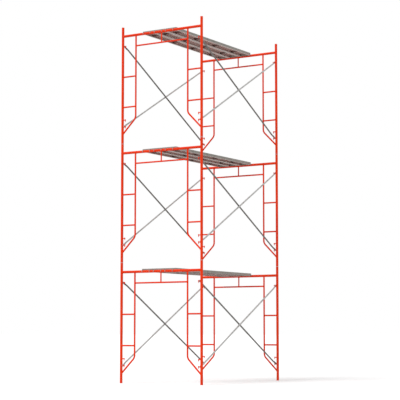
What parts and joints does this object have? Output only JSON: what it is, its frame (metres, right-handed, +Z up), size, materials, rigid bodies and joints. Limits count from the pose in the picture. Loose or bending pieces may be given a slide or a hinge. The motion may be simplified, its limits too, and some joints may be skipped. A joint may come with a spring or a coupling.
{
  "type": "frame scaffold section",
  "caption": "Frame scaffold tower: welded walk-through frames with ladder rungs, stacked on coupling pins, tied by crossed braces on latched studs, with hook-on planks on each header.",
  "frame": {"origin": "on the ground, midway between the four bottom legs", "axes": "+Z up; +X across the frames from the left posts to the right posts; +Y along the bay from the near frames to the far frames"},
  "size_m": [1.5666, 2.4926, 5.802],
  "materials": {
    "frame_paint": "gloss orange-red enamel",
    "latch_paint": "worn orange-red enamel",
    "brace_zinc": "dull galvanised",
    "pin_zinc": "dull galvanised",
    "plank_steel": "weathered galvanised sheet"
  },
  "bodies": {
    "lower_tier": {"lower_near_frame": "frame_paint", "lower_far_frame": "frame_paint", "lower_left_cross_braces": "brace_zinc", "lower_right_cross_braces": "brace_zinc", "lower_coupling_pins": "pin_zinc"},
    "middle_tier": {"middle_near_frame": "frame_paint", "middle_far_frame": "frame_paint", "middle_left_cross_braces": "brace_zinc", "middle_right_cross_braces": "brace_zinc", "middle_coupling_pins": "pin_zinc"},
    "upper_tier": {"upper_near_frame": "frame_paint", "upper_far_frame": "frame_paint", "upper_left_cross_braces": "brace_zinc", "upper_right_cross_braces": "brace_zinc"},
    "lower_left_plank": {"lower_left_plank": "plank_steel"},
    "lower_centre_plank": {"lower_centre_plank": "plank_steel"},
    "lower_right_plank": {"lower_right_plank": "plank_steel"},
    "middle_left_plank": {"middle_left_plank": "plank_steel"},
    "middle_centre_plank": {"middle_centre_plank": "plank_steel"},
    "middle_right_plank": {"middle_right_plank": "plank_steel"},
    "upper_left_plank": {"upper_left_plank": "plank_steel"},
    "upper_centre_plank": {"upper_centre_plank": "plank_steel"},
    "upper_right_plank": {"upper_right_plank": "plank_steel"},
    "lower_near_left_bottom_latch": {"lower_near_left_bottom_latch": "latch_paint"},
    "lower_near_left_spare_latch": {"lower_near_left_spare_latch": "latch_paint"},
    "lower_near_left_top_latch": {"lower_near_left_top_latch": "latch_paint"},
    "lower_near_right_bottom_latch": {"lower_near_right_bottom_latch": "latch_paint"},
    "lower_near_right_spare_latch": {"lower_near_right_spare_latch": "latch_paint"},
    "lower_near_right_top_latch": {"lower_near_right_top_latch": "latch_paint"},
    "lower_far_left_bottom_latch": {"lower_far_left_bottom_latch": "latch_paint"},
    "lower_far_left_spare_latch": {"lower_far_left_spare_latch": "latch_paint"},
    "lower_far_left_top_latch": {"lower_far_left_top_latch": "latch_paint"},
    "lower_far_right_bottom_latch": {"lower_far_right_bottom_latch": "latch_paint"},
    "lower_far_right_spare_latch": {"lower_far_right_spare_latch": "latch_paint"},
    "lower_far_right_top_latch": {"lower_far_right_top_latch": "latch_paint"},
    "middle_near_left_bottom_latch": {"middle_near_left_bottom_latch": "latch_paint"},
    "middle_near_left_spare_latch": {"middle_near_left_spare_latch": "latch_paint"},
    "middle_near_left_top_latch": {"middle_near_left_top_latch": "latch_paint"},
    "middle_near_right_bottom_latch": {"middle_near_right_bottom_latch": "latch_paint"},
    "middle_near_right_spare_latch": {"middle_near_right_spare_latch": "latch_paint"},
    "middle_near_right_top_latch": {"middle_near_right_top_latch": "latch_paint"},
    "middle_far_left_bottom_latch": {"middle_far_left_bottom_latch": "latch_paint"},
    "middle_far_left_spare_latch": {"middle_far_left_spare_latch": "latch_paint"},
    "middle_far_left_top_latch": {"middle_far_left_top_latch": "latch_paint"},
    "middle_far_right_bottom_latch": {"middle_far_right_bottom_latch": "latch_paint"},
    "middle_far_right_spare_latch": {"middle_far_right_spare_latch": "latch_paint"},
    "middle_far_right_top_latch": {"middle_far_right_top_latch": "latch_paint"},
    "upper_near_left_bottom_latch": {"upper_near_left_bottom_latch": "latch_paint"},
    "upper_near_left_spare_latch": {"upper_near_left_spare_latch": "latch_paint"},
    "upper_near_left_top_latch": {"upper_near_left_top_latch": "latch_paint"},
    "upper_near_right_bottom_latch": {"upper_near_right_bottom_latch": "latch_paint"},
    "upper_near_right_spare_latch": {"upper_near_right_spare_latch": "latch_paint"},
    "upper_near_right_top_latch": {"upper_near_right_top_latch": "latch_paint"},
    "upper_far_left_bottom_latch": {"upper_far_left_bottom_latch": "latch_paint"},
    "upper_far_left_spare_latch": {"upper_far_left_spare_latch": "latch_paint"},
    "upper_far_left_top_latch": {"upper_far_left_top_latch": "latch_paint"},
    "upper_far_right_bottom_latch": {"upper_far_right_bottom_latch": "latch_paint"},
    "upper_far_right_spare_latch": {"upper_far_right_spare_latch": "latch_paint"},
    "upper_far_right_top_latch": {"upper_far_right_top_latch": "latch_paint"}
  },
  "joints": [
    {"name": "middle_tier_lift", "type": "slide", "parent": "lower_tier", "child": "middle_tier", "axis": [0, 0, 1], "range_m": [0, 0.13]},
    {"name": "upper_tier_lift", "type": "slide", "parent": "middle_tier", "child": "upper_tier", "axis": [0, 0, 1], "range_m": [0, 0.13]},
    {"name": "lower_left_plank_lift", "type": "slide", "parent": "lower_tier", "child": "lower_left_plank", "axis": [0, 0, 1], "range_m": [0, 0.12]},
    {"name": "lower_centre_plank_lift", "type": "slide", "parent": "lower_tier", "child": "lower_centre_plank", "axis": [0, 0, 1], "range_m": [0, 0.12]},
    {"name": "lower_right_plank_lift", "type": "slide", "parent": "lower_tier", "child": "lower_right_plank", "axis": [0, 0, 1], "range_m": [0, 0.12]},
    {"name": "middle_left_plank_lift", "type": "slide", "parent": "middle_tier", "child": "middle_left_plank", "axis": [0, 0, 1], "range_m": [0, 0.12]},
    {"name": "middle_centre_plank_lift", "type": "slide", "parent": "middle_tier", "child": "middle_centre_plank", "axis": [0, 0, 1], "range_m": [0, 0.12]},
    {"name": "middle_right_plank_lift", "type": "slide", "parent": "middle_tier", "child": "middle_right_plank", "axis": [0, 0, 1], "range_m": [0, 0.12]},
    {"name": "upper_left_plank_lift", "type": "slide", "parent": "upper_tier", "child": "upper_left_plank", "axis": [0, 0, 1], "range_m": [0, 0.12]},
    {"name": "upper_centre_plank_lift", "type": "slide", "parent": "upper_tier", "child": "upper_centre_plank", "axis": [0, 0, 1], "range_m": [0, 0.12]},
    {"name": "upper_right_plank_lift", "type": "slide", "parent": "upper_tier", "child": "upper_right_plank", "axis": [0, 0, 1], "range_m": [0, 0.12]},
    {"name": "lower_near_left_bottom_latch_swing", "type": "hinge", "parent": "lower_tier", "child": "lower_near_left_bottom_latch", "pos_m": [-0.70665, -1.219, 0.281], "axis": [0, -1, 0], "range_deg": [0, 90]},
    {"name": "lower_near_left_spare_latch_swing", "type": "hinge", "parent": "lower_tier", "child": "lower_near_left_spare_latch", "pos_m": [-0.70665, -1.219, 0.391], "axis": [0, -1, 0], "range_deg": [0, 90]},
    {"name": "lower_near_left_top_latch_swing", "type": "hinge", "parent": "lower_tier", "child": "lower_near_left_top_latch", "pos_m": [-0.70665, -1.219, 1.61], "axis": [0, -1, 0], "range_deg": [0, 90]},
    {"name": "lower_near_right_bottom_latch_swing", "type": "hinge", "parent": "lower_tier", "child": "lower_near_right_bottom_latch", "pos_m": [0.70665, -1.219, 0.281], "axis": [0, 1, 0], "range_deg": [0, 90]},
    {"name": "lower_near_right_spare_latch_swing", "type": "hinge", "parent": "lower_tier", "child": "lower_near_right_spare_latch", "pos_m": [0.70665, -1.219, 0.391], "axis": [0, 1, 0], "range_deg": [0, 90]},
    {"name": "lower_near_right_top_latch_swing", "type": "hinge", "parent": "lower_tier", "child": "lower_near_right_top_latch", "pos_m": [0.70665, -1.219, 1.61], "axis": [0, 1, 0], "range_deg": [0, 90]},
    {"name": "lower_far_left_bottom_latch_swing", "type": "hinge", "parent": "lower_tier", "child": "lower_far_left_bottom_latch", "pos_m": [-0.70665, 1.219, 0.281], "axis": [0, -1, 0], "range_deg": [0, 90]},
    {"name": "lower_far_left_spare_latch_swing", "type": "hinge", "parent": "lower_tier", "child": "lower_far_left_spare_latch", "pos_m": [-0.70665, 1.219, 0.391], "axis": [0, -1, 0], "range_deg": [0, 90]},
    {"name": "lower_far_left_top_latch_swing", "type": "hinge", "parent": "lower_tier", "child": "lower_far_left_top_latch", "pos_m": [-0.70665, 1.219, 1.61], "axis": [0, -1, 0], "range_deg": [0, 90]},
    {"name": "lower_far_right_bottom_latch_swing", "type": "hinge", "parent": "lower_tier", "child": "lower_far_right_bottom_latch", "pos_m": [0.70665, 1.219, 0.281], "axis": [0, 1, 0], "range_deg": [0, 90]},
    {"name": "lower_far_right_spare_latch_swing", "type": "hinge", "parent": "lower_tier", "child": "lower_far_right_spare_latch", "pos_m": [0.70665, 1.219, 0.391], "axis": [0, 1, 0], "range_deg": [0, 90]},
    {"name": "lower_far_right_top_latch_swing", "type": "hinge", "parent": "lower_tier", "child": "lower_far_right_top_latch", "pos_m": [0.70665, 1.219, 1.61], "axis": [0, 1, 0], "range_deg": [0, 90]},
    {"name": "middle_near_left_bottom_latch_swing", "type": "hinge", "parent": "middle_tier", "child": "middle_near_left_bottom_latch", "pos_m": [-0.70665, -1.219, 2.217], "axis": [0, -1, 0], "range_deg": [0, 90]},
    {"name": "middle_near_left_spare_latch_swing", "type": "hinge", "parent": "middle_tier", "child": "middle_near_left_spare_latch", "pos_m": [-0.70665, -1.219, 2.327], "axis": [0, -1, 0], "range_deg": [0, 90]},
    {"name": "middle_near_left_top_latch_swing", "type": "hinge", "parent": "middle_tier", "child": "middle_near_left_top_latch", "pos_m": [-0.70665, -1.219, 3.546], "axis": [0, -1, 0], "range_deg": [0, 90]},
    {"name": "middle_near_right_bottom_latch_swing", "type": "hinge", "parent": "middle_tier", "child": "middle_near_right_bottom_latch", "pos_m": [0.70665, -1.219, 2.217], "axis": [0, 1, 0], "range_deg": [0, 90]},
    {"name": "middle_near_right_spare_latch_swing", "type": "hinge", "parent": "middle_tier", "child": "middle_near_right_spare_latch", "pos_m": [0.70665, -1.219, 2.327], "axis": [0, 1, 0], "range_deg": [0, 90]},
    {"name": "middle_near_right_top_latch_swing", "type": "hinge", "parent": "middle_tier", "child": "middle_near_right_top_latch", "pos_m": [0.70665, -1.219, 3.546], "axis": [0, 1, 0], "range_deg": [0, 90]},
    {"name": "middle_far_left_bottom_latch_swing", "type": "hinge", "parent": "middle_tier", "child": "middle_far_left_bottom_latch", "pos_m": [-0.70665, 1.219, 2.217], "axis": [0, -1, 0], "range_deg": [0, 90]},
    {"name": "middle_far_left_spare_latch_swing", "type": "hinge", "parent": "middle_tier", "child": "middle_far_left_spare_latch", "pos_m": [-0.70665, 1.219, 2.327], "axis": [0, -1, 0], "range_deg": [0, 90]},
    {"name": "middle_far_left_top_latch_swing", "type": "hinge", "parent": "middle_tier", "child": "middle_far_left_top_latch", "pos_m": [-0.70665, 1.219, 3.546], "axis": [0, -1, 0], "range_deg": [0, 90]},
    {"name": "middle_far_right_bottom_latch_swing", "type": "hinge", "parent": "middle_tier", "child": "middle_far_right_bottom_latch", "pos_m": [0.70665, 1.219, 2.217], "axis": [0, 1, 0], "range_deg": [0, 90]},
    {"name": "middle_far_right_spare_latch_swing", "type": "hinge", "parent": "middle_tier", "child": "middle_far_right_spare_latch", "pos_m": [0.70665, 1.219, 2.327], "axis": [0, 1, 0], "range_deg": [0, 90]},
    {"name": "middle_far_right_top_latch_swing", "type": "hinge", "parent": "middle_tier", "child": "middle_far_right_top_latch", "pos_m": [0.70665, 1.219, 3.546], "axis": [0, 1, 0], "range_deg": [0, 90]},
    {"name": "upper_near_left_bottom_latch_swing", "type": "hinge", "parent": "upper_tier", "child": "upper_near_left_bottom_latch", "pos_m": [-0.70665, -1.219, 4.153], "axis": [0, -1, 0], "range_deg": [0, 90]},
    {"name": "upper_near_left_spare_latch_swing", "type": "hinge", "parent": "upper_tier", "child": "upper_near_left_spare_latch", "pos_m": [-0.70665, -1.219, 4.263], "axis": [0, -1, 0], "range_deg": [0, 90]},
    {"name": "upper_near_left_top_latch_swing", "type": "hinge", "parent": "upper_tier", "child": "upper_near_left_top_latch", "pos_m": [-0.70665, -1.219, 5.482], "axis": [0, -1, 0], "range_deg": [0, 90]},
    {"name": "upper_near_right_bottom_latch_swing", "type": "hinge", "parent": "upper_tier", "child": "upper_near_right_bottom_latch", "pos_m": [0.70665, -1.219, 4.153], "axis": [0, 1, 0], "range_deg": [0, 90]},
    {"name": "upper_near_right_spare_latch_swing", "type": "hinge", "parent": "upper_tier", "child": "upper_near_right_spare_latch", "pos_m": [0.70665, -1.219, 4.263], "axis": [0, 1, 0], "range_deg": [0, 90]},
    {"name": "upper_near_right_top_latch_swing", "type": "hinge", "parent": "upper_tier", "child": "upper_near_right_top_latch", "pos_m": [0.70665, -1.219, 5.482], "axis": [0, 1, 0], "range_deg": [0, 90]},
    {"name": "upper_far_left_bottom_latch_swing", "type": "hinge", "parent": "upper_tier", "child": "upper_far_left_bottom_latch", "pos_m": [-0.70665, 1.219, 4.153], "axis": [0, -1, 0], "range_deg": [0, 90]},
    {"name": "upper_far_left_spare_latch_swing", "type": "hinge", "parent": "upper_tier", "child": "upper_far_left_spare_latch", "pos_m": [-0.70665, 1.219, 4.263], "axis": [0, -1, 0], "range_deg": [0, 90]},
    {"name": "upper_far_left_top_latch_swing", "type": "hinge", "parent": "upper_tier", "child": "upper_far_left_top_latch", "pos_m": [-0.70665, 1.219, 5.482], "axis": [0, -1, 0], "range_deg": [0, 90]},
    {"name": "upper_far_right_bottom_latch_swing", "type": "hinge", "parent": "upper_tier", "child": "upper_far_right_bottom_latch", "pos_m": [0.70665, 1.219, 4.153], "axis": [0, 1, 0], "range_deg": [0, 90]},
    {"name": "upper_far_right_spare_latch_swing", "type": "hinge", "parent": "upper_tier", "child": "upper_far_right_spare_latch", "pos_m": [0.70665, 1.219, 4.263], "axis": [0, 1, 0], "range_deg": [0, 90]},
    {"name": "upper_far_right_top_latch_swing", "type": "hinge", "parent": "upper_tier", "child": "upper_far_right_top_latch", "pos_m": [0.70665, 1.219, 5.482], "axis": [0, 1, 0], "range_deg": [0, 90]}
  ]
}
